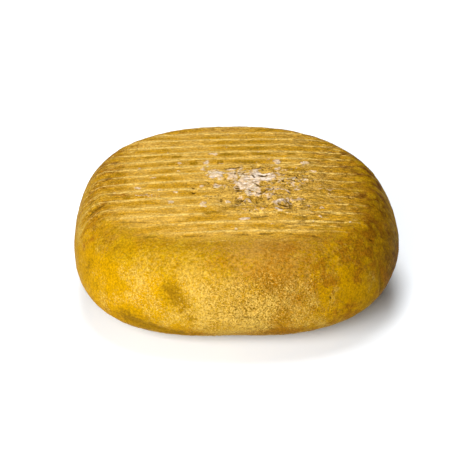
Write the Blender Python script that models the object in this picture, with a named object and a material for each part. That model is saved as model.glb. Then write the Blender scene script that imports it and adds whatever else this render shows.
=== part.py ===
"""One whole mahon cheese: a pressed, rounded, nearly square loaf in its rind.

Dimensions are in millimetres until the mesh is written, which is in metres.
X runs to the right, Y away from the face that is seen first, Z up. The form is worked out
about a middle point at the height of the widest outline, and then set down so that the flat
middle of the underside lies at Z = 0, with the loaf's box centred on X = Y = 0.
"""
import itertools
import math

import bmesh
import bpy
import numpy as np

# The loaf
HALF_WIDTH = 100.0
HALF_DEPTH = 99.8
RISE = 34.5
DROP = 35.3
CROWN = 4.85
MIDDLE_POWER = 2.49
TOP_POWER = 2.38
BASE_POWER = 3.07
TOP_FLAT = 0.80
TOP_EDGE_POWER = 2.0
BASE_FLAT = 0.45
BASE_EDGE_POWER = 2.0

# Swellings and hollows left by the hand that shaped it: azimuth in degrees from +X, level as a
# share of the rise or drop, and how far the rind stands out there
SWELLINGS = {
    "front_left_foot": (-140.0, -0.5, 2.1),
    "rear_right_shoulder": (38.0, 0.4, -3.6),
    "right_side": (-8.0, 0.0, 2.5),
    "front_right_foot": (-45.0, -0.4, 0.6),
}
SWELLING_SPREAD = 24.0
SWELLING_TALL = 0.7
UNDULATION = 0.6
UNDULATION_CELL = 30.0

# Parallel ridges pressed into the top, back to front, a little askew to the loaf
RIDGE_PITCH = 10.06
RIDGE_COUNT = 16
FIRST_RIDGE = 80.4
RIDGE_SKEW = 0.033
RIDGE_HEIGHT = 0.6
RIDGE_FOOT = 3.0
RIDGE_LOW = 6.0
RIDGE_FULL = 24.0
RIDGE_RIGHT_START = 64.0
RIDGE_RIGHT_END = 88.0
RIDGE_FRONT_START = -60.0
RIDGE_FRONT_END = -76.0
RIDGE_LOST_IN_KNOT = 0.75

# The crusted middle, where the knot of the cloth was pressed in
KNOT_CENTRE = (19.0, -10.0)
KNOT_REACH = (44.0, 36.0)
CRAG_HEIGHT = 0.7
CRAG_CELL = 8.0
FINE_CRAG_HEIGHT = 0.35
FINE_CRAG_CELL = 4.0

# Marks in the crusted middle: place, half sizes and height, below zero where it is sunk
CRAGS = {
    "mould_crust_left": (-11.0, 7.0, 6.0, 5.0, 0.7),
    "mould_crust_middle": (8.5, -3.0, 7.5, 8.0, 0.8),
    "flake_right": (45.0, 24.0, 4.5, 3.5, 1.0),
    "front_flakes": (25.0, -36.5, 4.5, 2.5, 0.9),
    "front_crumb": (27.0, -28.0, 4.5, 3.5, 1.1),
    "hollow_by_crumb": (34.0, -31.0, 4.0, 4.0, -1.2),
    "front_hollow": (2.0, -29.0, 4.5, 5.0, -1.3),
    "left_pit": (-25.5, -14.5, 3.0, 3.0, -0.8),
    "front_crack": (17.0, -43.0, 8.0, 2.5, -0.9),
}
CRATER_CENTRE = (17.5, 6.8)
CRATER_RADIUS = 6.6
CRATER_LIP = 2.6
CRATER_HEIGHT = 1.1
CRATER_HOLE = 3.0
CRATER_DEPTH = 1.8

# How the mesh is laid out
AROUND = 80
FRONT_RINGS = 12
BACK_RINGS = 9
TOP_CROWDING = 2.2
TOP_CROWDING_AT = math.radians(78.0)
TOP_CROWDING_SPREAD = math.radians(30.0)
BASE_CROWDING = 0.8
SOLVE_STEPS = 44
NOISE_LATTICE = 24
SLOPE_STEP = 0.02
BASE_CLEAR = 6.0

RIND_COLOUR = (0.52, 0.30, 0.028, 1.0)
RIND_ROUGHNESS = 0.6
MM = 0.001


def smooth_step(value, start, end):
    """0 up to start, 1 from end on, with a smooth rise between them."""
    share = np.clip((value - start) / (end - start), 0.0, 1.0)
    return share * share * (3.0 - 2.0 * share)


def smooth_noise(points, cell, seed):
    """Seeded values from -1 to 1 on a cubic lattice, blended smoothly between its corners."""
    lattice = np.random.default_rng(seed).uniform(-1.0, 1.0, (NOISE_LATTICE,) * 3)
    scaled = points / cell
    corner = np.floor(scaled).astype(int)
    part = scaled - corner
    blend = part * part * (3.0 - 2.0 * part)
    value = np.zeros(len(points))
    for step in itertools.product((0, 1), repeat=3):
        weight = np.prod(np.where(np.array(step, bool), blend, 1.0 - blend), axis=1)
        value += weight * lattice[tuple(((corner + step) % NOISE_LATTICE).T)]
    return value


def plan_share(x, y, level):
    """How far out a point lies in plan: 0 on the axis, 1 on the widest outline.

    The outline is a superellipse whose power changes from the middle to the top and the base.
    """
    end_power = np.where(level > 0.0, TOP_POWER, BASE_POWER)
    power = MIDDLE_POWER + (end_power - MIDDLE_POWER) * np.clip(np.abs(level), 0.0, 1.0)
    share = np.abs(x / HALF_WIDTH) ** power + np.abs(y / HALF_DEPTH) ** power
    return share ** (1.0 / power)


def outside(points):
    """Below 0 inside the plain loaf, above 0 outside it: a flat middle with rounded edges."""
    x, y, z = points.T
    above = z > 0.0
    share = plan_share(x, y, np.where(above, z / RISE, z / DROP))
    sag = 1.0 - CROWN / RISE * np.clip(share, 0.0, 1.2) ** 2
    height = np.where(above, z / (RISE * sag), -z / DROP)
    flat = np.where(above, TOP_FLAT, BASE_FLAT)
    power = np.where(above, TOP_EDGE_POWER, BASE_EDGE_POWER)
    edge = np.maximum(0.0, (share - flat) / (1.0 - flat))
    return (edge ** power + height ** power) ** (1.0 / power) - 1.0


def on_rind(centres, directions):
    """Where rays from inside the loaf leave it, found by halving the span again and again."""
    near = np.zeros(len(centres))
    far = np.full(len(centres), 1.3 * HALF_WIDTH)
    for _ in range(SOLVE_STEPS):
        middle = 0.5 * (near + far)
        inside = outside(centres + directions * middle[:, None]) < 0.0
        near = np.where(inside, middle, near)
        far = np.where(inside, far, middle)
    return centres + directions * near[:, None]


def outward(points):
    """Unit directions straight out of the rind, from the slope of the loaf's own formula."""
    slope = np.empty_like(points)
    for axis in range(3):
        step = np.zeros(3)
        step[axis] = SLOPE_STEP
        slope[:, axis] = outside(points + step) - outside(points - step)
    return slope / np.linalg.norm(slope, axis=1)[:, None]


def swollen(points):
    """The loaf with its swellings: each moves the rind out in plan, round one azimuth and level."""
    x, y, z = points.T
    azimuth = np.degrees(np.arctan2(y, x))
    level = np.where(z > 0.0, z / RISE, z / DROP)
    rise = np.zeros(len(points))
    for at_azimuth, at_level, height in SWELLINGS.values():
        turn = (azimuth - at_azimuth + 180.0) % 360.0 - 180.0
        rise += height * np.exp(-(turn / SWELLING_SPREAD) ** 2 - ((level - at_level) / SWELLING_TALL) ** 2)
    growth = 1.0 + rise / HALF_WIDTH * np.clip(plan_share(x, y, level), 0.0, 1.0)
    return np.stack([x * growth, y * growth, z], axis=1)


def ridge_relief(points, knot):
    """Rounded ridges a pitch apart that fade down the sides, at the right, in front and in the knot."""
    x, y, z = points.T
    rows = (FIRST_RIDGE + math.tan(RIDGE_SKEW) * x - y) / RIDGE_PITCH
    nearest = np.clip(np.round(rows), 0, RIDGE_COUNT - 1)
    away = (rows - nearest) * RIDGE_PITCH / RIDGE_FOOT
    crest = np.where(np.abs(away) < 1.0, 0.5 + 0.5 * np.cos(math.pi * np.clip(away, -1.0, 1.0)), 0.0)
    fade = smooth_step(z, RIDGE_LOW, RIDGE_FULL) * (1.0 - smooth_step(x, RIDGE_RIGHT_START, RIDGE_RIGHT_END))
    fade *= smooth_step(y, RIDGE_FRONT_END, RIDGE_FRONT_START)
    return RIDGE_HEIGHT * crest * fade * (1.0 - RIDGE_LOST_IN_KNOT * knot)


def crag_relief(points, knot):
    """The crusted middle: lumps and hollows, the marks that stand out, and the knot's crater."""
    x, y, z = points.T
    rough = CRAG_HEIGHT * smooth_noise(points, CRAG_CELL, 5)
    rough += FINE_CRAG_HEIGHT * smooth_noise(points, FINE_CRAG_CELL, 6)
    relief = rough * knot
    for at_x, at_y, reach_x, reach_y, height in CRAGS.values():
        relief += height * np.exp(-((x - at_x) / reach_x) ** 2 - ((y - at_y) / reach_y) ** 2)
    radius = np.hypot(x - CRATER_CENTRE[0], y - CRATER_CENTRE[1])
    relief += CRATER_HEIGHT * np.exp(-((radius - CRATER_RADIUS) / CRATER_LIP) ** 2)
    relief -= CRATER_DEPTH * np.exp(-(radius / CRATER_HOLE) ** 2)
    return relief * (z > 0.0)


def with_relief(points):
    """The rind's relief, measured straight out of it, and none on the flat of the underside."""
    x, y, z = points.T
    across = ((x - KNOT_CENTRE[0]) / KNOT_REACH[0]) ** 2 + ((y - KNOT_CENTRE[1]) / KNOT_REACH[1]) ** 2
    knot = np.exp(-across ** 2) * (z > 0.0)
    relief = ridge_relief(points, knot) + crag_relief(points, knot)
    relief += UNDULATION * smooth_noise(points, UNDULATION_CELL, 3)
    relief *= smooth_step(z, -DROP, -DROP + BASE_CLEAR)
    return swollen(points) + outward(points) * relief[:, None]


def ring_places():
    """Where the mesh's rings lie along Y, front to back: three on each ridge, then each end."""
    crests = FIRST_RIDGE - RIDGE_PITCH * np.arange(RIDGE_COUNT)[::-1]
    rows = (crests[:, None] + RIDGE_FOOT * np.array([-1.0, 0.0, 1.0])).ravel()
    closing = [1.0 - (1.0 - np.arange(count) / count) ** 2 for count in (FRONT_RINGS, BACK_RINGS)]
    front = rows[0] - (rows[0] + HALF_DEPTH) * closing[0][:0:-1]
    back = rows[-1] + (HALF_DEPTH - rows[-1]) * closing[1][1:]
    return np.concatenate([[-HALF_DEPTH], front, rows, back, [HALF_DEPTH]])


def turns_around():
    """Angles of the mesh's rows round the Y axis, crowded over the crusted top, sparse below."""
    fine = np.linspace(0.0, 2.0 * math.pi, 2001)
    near_top = np.exp(-((fine - TOP_CROWDING_AT) / TOP_CROWDING_SPREAD) ** 2)
    crowd = np.where(fine > math.pi, BASE_CROWDING, 1.0) + TOP_CROWDING * near_top
    total = np.concatenate([[0.0], np.cumsum(0.5 * (crowd[1:] + crowd[:-1]))])
    return np.interp(np.arange(AROUND) / AROUND * total[-1], total, fine)


def loaf_points(sphere):
    """Each point of a sphere with its poles along Y, taken to its place on the rind."""
    places = ring_places()
    turns = turns_around()
    tilt = np.arccos(np.clip(-sphere[:, 1], -1.0, 1.0)) / math.pi
    ring = np.round(tilt * (len(places) - 1)).astype(int)
    spoke = np.round(np.arctan2(sphere[:, 2], sphere[:, 0]) / (2.0 * math.pi) * AROUND).astype(int) % AROUND
    turn = turns[spoke]
    directions = np.stack([HALF_WIDTH * np.cos(turn), np.zeros(len(turn)), RISE * np.sin(turn)], axis=1)
    directions[:, 1] = math.tan(RIDGE_SKEW) * directions[:, 0]
    directions /= np.linalg.norm(directions, axis=1)[:, None]
    centres = np.zeros_like(directions)
    centres[:, 1] = places[ring]
    points = on_rind(centres, directions)
    tips = (ring == 0) | (ring == len(places) - 1)
    points[tips] = centres[tips]
    return with_relief(points)


def make_rind_material():
    material = bpy.data.materials.new("rind")
    material.use_nodes = True
    shader = material.node_tree.nodes["Principled BSDF"]
    shader.inputs["Base Color"].default_value = RIND_COLOUR
    shader.inputs["Roughness"].default_value = RIND_ROUGHNESS
    shader.inputs["Metallic"].default_value = 0.0
    return material


def make_cheese(collection):
    """A UV sphere whose rings are turned to face along Y and then taken to the loaf's form."""
    shape = bmesh.new()
    bmesh.ops.create_uvsphere(shape, u_segments=AROUND, v_segments=len(ring_places()) - 1, radius=1.0)
    mesh = bpy.data.meshes.new("cheese")
    shape.to_mesh(mesh)
    shape.free()
    flat = np.empty(3 * len(mesh.vertices))
    mesh.vertices.foreach_get("co", flat)
    x, y, z = flat.reshape(-1, 3).T
    points = loaf_points(np.stack([x, z, -y], axis=1))
    low = points.min(axis=0)
    high = points.max(axis=0)
    points -= [0.5 * (low[0] + high[0]), 0.5 * (low[1] + high[1]), -DROP]
    points[:, 2] = np.where(points[:, 2] < 1e-3, 0.0, points[:, 2])
    mesh.vertices.foreach_set("co", (points * MM).ravel())
    mesh.update()
    mesh.shade_smooth()
    mesh.materials.append(make_rind_material())
    cheese = bpy.data.objects.new("cheese", mesh)
    collection.objects.link(cheese)
    return cheese


def main():
    for old in list(bpy.data.objects):
        bpy.data.objects.remove(old, do_unlink=True)
    collection = bpy.data.collections.new("mahon_cheese")
    bpy.context.scene.collection.children.link(collection)
    make_cheese(collection)


main()
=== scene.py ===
# A whole mahon cheese: its rind as one fine mesh, the loose mould flakes and crumbs on it, and a
# studio floor.
import functools
import itertools
import math

import bpy
import numpy as np
from mathutils import Euler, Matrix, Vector


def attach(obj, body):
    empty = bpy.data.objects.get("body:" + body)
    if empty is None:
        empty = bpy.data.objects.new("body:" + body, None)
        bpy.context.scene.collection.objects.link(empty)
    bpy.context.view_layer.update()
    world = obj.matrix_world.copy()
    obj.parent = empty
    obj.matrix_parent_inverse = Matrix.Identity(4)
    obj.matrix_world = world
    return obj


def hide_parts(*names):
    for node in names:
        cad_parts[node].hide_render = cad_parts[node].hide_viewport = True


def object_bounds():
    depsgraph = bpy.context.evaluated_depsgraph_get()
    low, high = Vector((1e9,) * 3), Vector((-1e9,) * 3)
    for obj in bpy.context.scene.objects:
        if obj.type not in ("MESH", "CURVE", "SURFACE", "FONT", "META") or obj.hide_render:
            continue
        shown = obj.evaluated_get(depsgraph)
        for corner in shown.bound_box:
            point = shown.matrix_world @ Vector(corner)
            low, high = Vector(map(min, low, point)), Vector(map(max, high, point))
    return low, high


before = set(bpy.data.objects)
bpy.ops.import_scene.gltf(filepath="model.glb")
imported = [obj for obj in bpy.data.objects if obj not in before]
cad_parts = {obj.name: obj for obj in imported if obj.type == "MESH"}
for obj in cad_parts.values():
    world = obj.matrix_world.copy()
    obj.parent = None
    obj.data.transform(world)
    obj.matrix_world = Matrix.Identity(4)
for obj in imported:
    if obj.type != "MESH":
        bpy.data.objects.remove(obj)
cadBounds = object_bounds()
print("stage 1: the packed cheese is loaded")

mm = 0.001  # one millimetre in metres; every shape below is worked out in millimetres


def linearColour(hexText):
    # sRGB hex to linear light: c/12.92 below 0.04045, else ((c + 0.055) / 1.055) ** 2.4
    parts = [int(hexText[i:i + 2], 16) / 255 for i in (1, 3, 5)]
    return [c / 12.92 if c <= 0.04045 else ((c + 0.055) / 1.055) ** 2.4 for c in parts] + [1.0]


def fillSockets(node, inputs):
    # each input gets its value, or a link from the socket that is given for it
    for name, value in inputs.items():
        if isinstance(value, bpy.types.NodeSocket):
            node.id_data.links.new(value, node.inputs[name])
        else:
            node.inputs[name].default_value = value


def addNode(tree, kind, inputs=None, output=0, **settings):
    # one node with its settings and inputs; what comes back is its output
    node = tree.nodes.new("ShaderNode" + kind)
    for name, value in settings.items():
        setattr(node, name, value)
    fillSockets(node, inputs or {})
    return node.outputs[output]


def newMaterial(name):
    # a material, what adds nodes to it and its shader
    material = bpy.data.materials.new(name)
    material.use_nodes = True
    tree = material.node_tree
    return material, functools.partial(addNode, tree), tree.nodes["Principled BSDF"]


def addObject(name, data):
    thing = bpy.data.objects.new(name, data)
    bpy.context.scene.collection.objects.link(thing)
    return thing


def ramp(value, start, end):
    # 0 up to start, 1 from end on, 3t^2 - 2t^3 between them; end may lie below start
    share = np.clip((value - start) / (end - start), 0, 1)
    return share * share * (3 - 2 * share)


def hump(value, middle, reach):
    # a bell: exp(-((value - middle) / reach)^2)
    return np.exp(-((value - middle) / reach) ** 2)


def unit(vectors):
    return vectors / np.linalg.norm(vectors, axis=-1, keepdims=True)


# the loaf's form, the same named sizes as its solid
loaf = {
    "halfWidth": 100.0, "halfDepth": 99.8,
    "rise": 34.5,  # from the widest outline up to the plain top
    "drop": 35.3,  # and down to the underside
    "crown": 4.85,  # how much lower the top's rim is than its middle
    "middlePower": 2.49,  # superellipse powers of the plan: 2 is round, more is squarer
    "topPower": 2.38, "basePower": 3.07,
    "topFlat": 0.80,  # share of the plan that stays flat before the shoulder starts
    "baseFlat": 0.45,
    "undulation": 0.6, "undulationCell": 30.0,
    "baseClear": 6.0,  # the relief starts this far above the underside
    # azimuth, level, millimetres
    "swellings": [(-140, -0.5, 2.1), (38, 0.4, -3.6), (-8, 0, 2.5), (-45, -0.4, 0.6)],
    "swellingSpread": 24.0, "swellingTall": 0.7,
}
# how fine its mesh is: spacings in millimetres, with the middle and reach of finer stretches
grid = {
    "rings": 262, "ringSpacing": 1.15, "ringFiner": (0.5, 17, 42),
    "rows": 378, "rowSpacing": 0.95, "rowFiner": (0.3, -10, 42),
    "backCoarser": 1.0, "baseCoarser": 3.5,
    "solveSteps": 40, "slopeStep": 0.02,
}


def blended(scaled, size, easing, atCorner):
    # the values at the eight corners of each point's cell, weighted by its eased place in the cell
    corner = np.floor(scaled).astype(int)
    part = scaled - corner
    blend = easing(part)
    value = np.zeros(len(scaled))
    for step in itertools.product((0, 1), repeat=3):
        weight = np.prod(np.where(np.array(step, bool), blend, 1 - blend), axis=1)
        value += weight * atCorner(tuple(((corner + step) % size).T), part - step)
    return value


def plainNoise(points, cell, seed):
    # seeded values from -1 to 1 at the corners of a cubic lattice, eased by 3t^2 - 2t^3
    size = 24
    lattice = np.random.default_rng(seed).uniform(-1, 1, (size, size, size))
    return blended(points / cell, size, lambda part: part * part * (3 - 2 * part),
                   lambda corner, away: lattice[corner])


def noise(points, cell, seed, layers=1):
    # seeded slopes at the corners of a cubic lattice, eased by 6t^5 - 15t^4 + 10t^3: about -1 to
    # 1, with finer layers of half the cell and half the strength, each turned its own way
    size = 32
    random = np.random.default_rng(seed)
    total = np.zeros(len(points))
    for layer in range(layers):
        slopes = unit(random.normal(size=(size, size, size, 3)))
        turn = np.array(Euler(random.uniform(0, 2 * math.pi, 3)).to_matrix())
        scaled = points @ turn.T / cell * 2 ** layer + random.uniform(0, size, 3)
        total += 0.5 ** layer * 1.6 * blended(
            scaled, size, lambda part: part ** 3 * (part * (part * 6 - 15) + 10),
            lambda corner, away: np.einsum("ij,ij->i", slopes[corner], away))
    return total / (2 - 0.5 ** (layers - 1)) ** 0.5


def levelOf(z):
    # 0 at the widest outline, 1 at the top, -1 at the underside
    return z / np.where(z > 0, loaf["rise"], loaf["drop"])


def planShare(x, y, level):
    # (|x/a|^p + |y/b|^p)^(1/p): 0 on the axis, 1 on the widest outline, p changing with the level
    endPower = np.where(level > 0, loaf["topPower"], loaf["basePower"])
    power = loaf["middlePower"] + (endPower - loaf["middlePower"]) * np.clip(np.abs(level), 0, 1)
    share = np.abs(x / loaf["halfWidth"]) ** power + np.abs(y / loaf["halfDepth"]) ** power
    return share ** (1 / power)


def outside(points):
    # (edge^2 + height^2)^(1/2) - 1, where edge is 0 on the flat middle and 1 at the outline:
    # below 0 inside the plain loaf, above 0 outside it
    x, y, z = points.T
    above = z > 0
    share = planShare(x, y, levelOf(z))
    sag = 1 - loaf["crown"] / loaf["rise"] * np.clip(share, 0, 1.2) ** 2
    height = z / np.where(above, loaf["rise"] * sag, -loaf["drop"])
    flat = np.where(above, loaf["topFlat"], loaf["baseFlat"])
    edge = np.maximum(0, (share - flat) / (1 - flat))
    return np.sqrt(edge ** 2 + height ** 2) - 1


def onRind(centres, directions):
    # where rays from inside leave the plain loaf, by halving the span
    near = np.zeros(len(centres))
    far = np.full(len(centres), 1.3 * loaf["halfWidth"])
    for _ in range(grid["solveSteps"]):
        middle = (near + far) / 2
        inside = outside(centres + directions * middle[:, None]) < 0
        near = np.where(inside, middle, near)
        far = np.where(inside, far, middle)
    return centres + directions * near[:, None]


def outward(points):
    # unit slope of the loaf's formula, by central differences
    steps = np.eye(3) * grid["slopeStep"]
    slopes = [outside(points + step) - outside(points - step) for step in steps]
    return unit(np.stack(slopes, axis=1))


def swollen(points):
    # plan grown by 1 + rise/halfWidth * share, rise a bell round each swelling's azimuth and level
    x, y, z = points.T
    azimuth = np.degrees(np.arctan2(y, x))
    level = levelOf(z)
    rise = np.zeros(len(points))
    for atAzimuth, atLevel, height in loaf["swellings"]:
        turn = (azimuth - atAzimuth + 180) % 360 - 180
        rise += (height * hump(turn, 0, loaf["swellingSpread"])
                 * hump(level, atLevel, loaf["swellingTall"]))
    growth = 1 + rise / loaf["halfWidth"] * np.clip(planShare(x, y, level), 0, 1)
    return np.stack([x * growth, y * growth, z], axis=1)


# where the mesh's rings and rows lie

def spacedBy(places, spacings, count, values):
    # the values at count + 1 places whose steps follow the wanted spacings: the inverse of the
    # running sum of length / spacing
    steps = np.linalg.norm(np.diff(places, axis=0), axis=1)
    total = np.append(0, np.cumsum(steps * 2 / (spacings[1:] + spacings[:-1])))
    along = np.interp(np.linspace(0, total[-1], count + 1), total, np.arange(len(places)))
    return np.interp(along, np.arange(len(places)), values)


def ringPlaces():
    # X of each ring, closest together over the crusted middle and towards the two tips
    turn = np.linspace(math.pi, 0, 1501)
    centres = np.outer(np.cos(turn), [loaf["halfWidth"], 0, 0])
    line = onRind(centres, np.tile([0.0, 0, 1], (len(turn), 1)))
    finer, middle, reach = grid["ringFiner"]
    spacing = grid["ringSpacing"] - finer * hump(line[:, 0], middle, reach)
    return spacedBy(line, spacing, grid["rings"], line[:, 0])[1:-1]


def rowRays(turns):
    # unit rays at right angles to X, turned from the back up over the top and round
    return unit(np.stack([0 * turns, loaf["halfDepth"] * np.cos(turns),
                          loaf["rise"] * np.sin(turns)], axis=1))


def rowTurns():
    # angles of the rows round X: fine on the top and the front, coarser low at the back and below
    turns = np.linspace(0, 2 * math.pi, 3001)
    line = onRind(np.zeros((len(turns), 3)), rowRays(turns))
    y, z = line[:, 1], line[:, 2]
    finer, middle, reach = grid["rowFiner"]
    spacing = (grid["rowSpacing"] - finer * hump(y, middle, reach) * (z > 0)
               + grid["backCoarser"] * ramp(y, 70, 100) * (z < 28))
    spacing += grid["baseCoarser"] * ramp(z, -24, -35) * ramp(y, -80, -55)
    return spacedBy(line, spacing, grid["rows"], turns)[:-1]


def gridFaces(rings, rows):
    # quads between neighbouring rings, and a fan of triangles to each of the two tips, whose
    # points come last, all facing out
    ring = np.arange(rings - 1)[:, None] * rows
    row = np.arange(rows)
    after = (row + 1) % rows
    quads = np.stack([ring + row, ring + rows + row, ring + rows + after, ring + after], axis=-1)
    tip = np.full(rows, rings * rows)
    base = (rings - 1) * rows
    first = np.stack([tip, row, after], axis=1)
    last = np.stack([tip + 1, base + after, base + row], axis=1)
    return quads.reshape(-1, 4), np.concatenate([first, last])


def makePiece(name, points, quads, triangles):
    # loops of the quads first, then of the triangles, all put in with foreach_set
    mesh = bpy.data.meshes.new(name)
    mesh.vertices.add(len(points))
    mesh.vertices.foreach_set("co", (points * mm).astype(np.float32).ravel())
    corners = np.concatenate([quads.ravel(), triangles.ravel()])
    mesh.loops.add(len(corners))
    mesh.loops.foreach_set("vertex_index", corners.astype(np.int32))
    mesh.polygons.add(len(quads) + len(triangles))
    starts = [np.arange(len(quads)) * 4, quads.size + np.arange(len(triangles)) * 3]
    mesh.polygons.foreach_set("loop_start", np.concatenate(starts).astype(np.int32))
    mesh.update(calc_edges=True)
    mesh.validate()
    mesh.shade_smooth()
    return addObject(name, mesh)


# marks on the rind, each at its own place: on the top x and y, on the front x and z

# half length, half width, turn in degrees, strength
mould = {
    "thickness": 0.24,
    "soft": 0.5,
    "ragged": 0.75,
    "top": [
        (-11.6, 6.9, 6, 5, -58, 1), (1.5, 7.4, 7.6, 4.6, -9, 0.6), (7.4, 0, 5.4, 3.6, -81, 1),
        (9.4, -8.5, 6.3, 3.6, 88, 1), (12.4, -12.9, 3.8, 2.4, 18, 0.8),
        (8.3, -17.9, 2.2, 2.1, 75, 0.8), (13.2, -18.5, 2.1, 1.9, 77, 0.6),
        (2.3, -5.7, 4, 1.5, -68, 0.9), (-11.3, -7.7, 3.2, 2.4, -63, 0.75),
        (-19.6, 15.1, 2.8, 1.5, -88, 0.8), (-18.1, 23.9, 3.2, 1.9, -88, 0.85),
        (-13.7, 37.1, 2.6, 2, -4, 0.75), (27.2, 26.1, 3.2, 2.3, 83, 0.85),
        (44.9, 23.3, 3.4, 2.1, 38, 0.9), (50.1, 13.4, 2, 1.6, 24, 0.75),
        (27.1, 14.7, 1.9, 1.5, 10, 0.7), (26.9, 8.5, 1.9, 1.6, 14, 0.7),
        (28.9, 3.2, 4, 3.1, 81, 0.45), (37, 1.5, 2.9, 1.6, -2, 0.65),
        (50.4, -4, 1.6, 1.3, 20, 0.4), (-19.3, -29.1, 3.7, 2.2, 84, 0.7),
        (-4.5, -26.6, 2, 1.3, -34, 0.8), (25.4, -36.8, 3.2, 1.7, -17, 0.95),
        (52, -33.1, 1.5, 1.2, 70, 0.7), (4.9, -47.2, 2.8, 1.1, 11, 0.65),
        (21.3, -52.6, 1.5, 1.1, 4, 0.6), (0.1, -58, 1.1, 0.9, 89, 0.7),
        (50.5, -43, 1.4, 1.2, 68, 0.6), (-4.7, 46.3, 2, 1.6, -2, 0.7),
        (-35.3, 24.1, 1.9, 1.7, -36, 0.75), (-60.2, 19.4, 1.9, 1.4, -75, 0.7),
        (-35.3, 12.9, 1.5, 0.9, -85, 0.7), (-51, 4.7, 2.7, 1.2, -8, 0.5),
        (-51.8, -17.8, 7.4, 2.6, -7, 0.42), (-46, -10.8, 3.1, 1.5, -7, 0.45),
        (-59.7, -7.5, 2.3, 1.7, -45, 0.7), (-36.6, -14.7, 1.7, 1.4, -15, 0.75),
        (-59.2, -17.1, 1.9, 1.2, -13, 0.7), (-38.7, -25.7, 2.7, 1.8, 5, 0.8),
        (-20.5, -8, 1.8, 1, -88, 0.6), (-38.3, -39.8, 1.2, 1.1, -33, 0.55),
        (-3.6, 68.8, 4.5, 1, 90, 0.4), (-42.8, 39.5, 1.4, 0.8, -84, 0.6),
        (-40.2, 49.2, 2.4, 1, -6, 0.45), (13.3, 7.9, 4.2, 5.6, 0, 0.9),
        (18.4, 0.9, 5.4, 2.9, 0, 0.9), (23.4, 4, 2.6, 3.4, 0, 0.7), (17.5, 12.6, 5, 1.4, 0, 0.4),
        (-2, -55.9, 1.1, 0.9, 90, 0.5), (-8.2, 22.9, 1.7, 1.3, -3, 0.5),
        (21.9, 29.6, 1.8, 1.3, 85, 0.45), (15.4, 40, 1.2, 1, 85, 0.4),
        (38.2, -12, 1.9, 1.3, 9, 0.4), (58.7, -10.4, 1.9, 1.1, 11, 0.35),
        (62.7, -22.5, 1.9, 1, 9, 0.35), (-27, -36.4, 2.4, 1.2, -3, 0.35),
        (-44.9, -40, 2.4, 1, -5, 0.3),
    ],
}
# the same, with a depth in millimetres before the strength, which is how dark the painted shade in
# the hollow is
hollows = {
    "soft": 0.5,
    "ragged": 0.4,
    "top": [
        (2, -11.7, 3.7, 2, -70, 0.5, 0.42), (2.1, -27, 4.5, 2.8, 89, 0.6, 0.48),
        (-8.5, -25.1, 1.9, 1.3, -89, 0.5, 0.6), (30, -1.5, 1.6, 0.8, 86, 0.5, 0.9),
        (31.7, -28.9, 4.3, 2.5, 85, 0.5, 0.42), (42.1, -32.9, 2.7, 2.3, 61, 0.4, 0.35),
        (-25.7, -9.7, 1, 0.7, -87, 0.9, 1), (-25.2, -14.8, 1.2, 1, -13, 0.9, 1),
        (20.4, -24.5, 1.5, 1, 86, 0.5, 0.7), (17.6, 6.4, 2.6, 1.1, 0, 0.8, 1),
        (48.5, 26.4, 1.3, 0.7, 84, 0.6, 1), (23.9, -18.9, 2, 0.6, 88, 0.6, 0.9),
        (15.3, -34.7, 1.5, 0.7, 88, 0.4, 0.6), (45.8, -63.5, 1.4, 1.3, 86, 0.4, 0.5),
        (13, -25.8, 2.6, 0.6, -84, 0.5, 0.6), (-5.4, -34.6, 2.3, 1.4, -59, 0.5, 0.4),
        (-1.2, -32.3, 2.7, 2.1, -48, 0.4, 0.5),
    ],
    "front": [
        (54.9, 4.9, 0.9, 0.7, -80, 0.9, 1),
    ],
}
# loose plates of crust that stand proud, height before the strength; on the front, the low lip
crusts = {
    "soft": 0.3,
    "ragged": 0.35,
    "top": [
        (7.6, -27.3, 3.1, 2.1, 88, 0.6, 0.5), (26.9, -27.6, 3.8, 3.1, 10, 0.5, 0.3),
        (26.3, -18.8, 7.3, 6.1, -4, 0.5, 0.5), (16.3, -30, 2.6, 1.3, -66, 0.4, 0.4),
        (32, 14, 6, 3, -10, 0.4, 0.3), (-3, -18, 5, 4, 20, 0.4, 0.3),
    ],
    "front": [
        (6, -4.5, 6.6, 2.6, 0, 0.9, 0.3),
    ],
}
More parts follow.
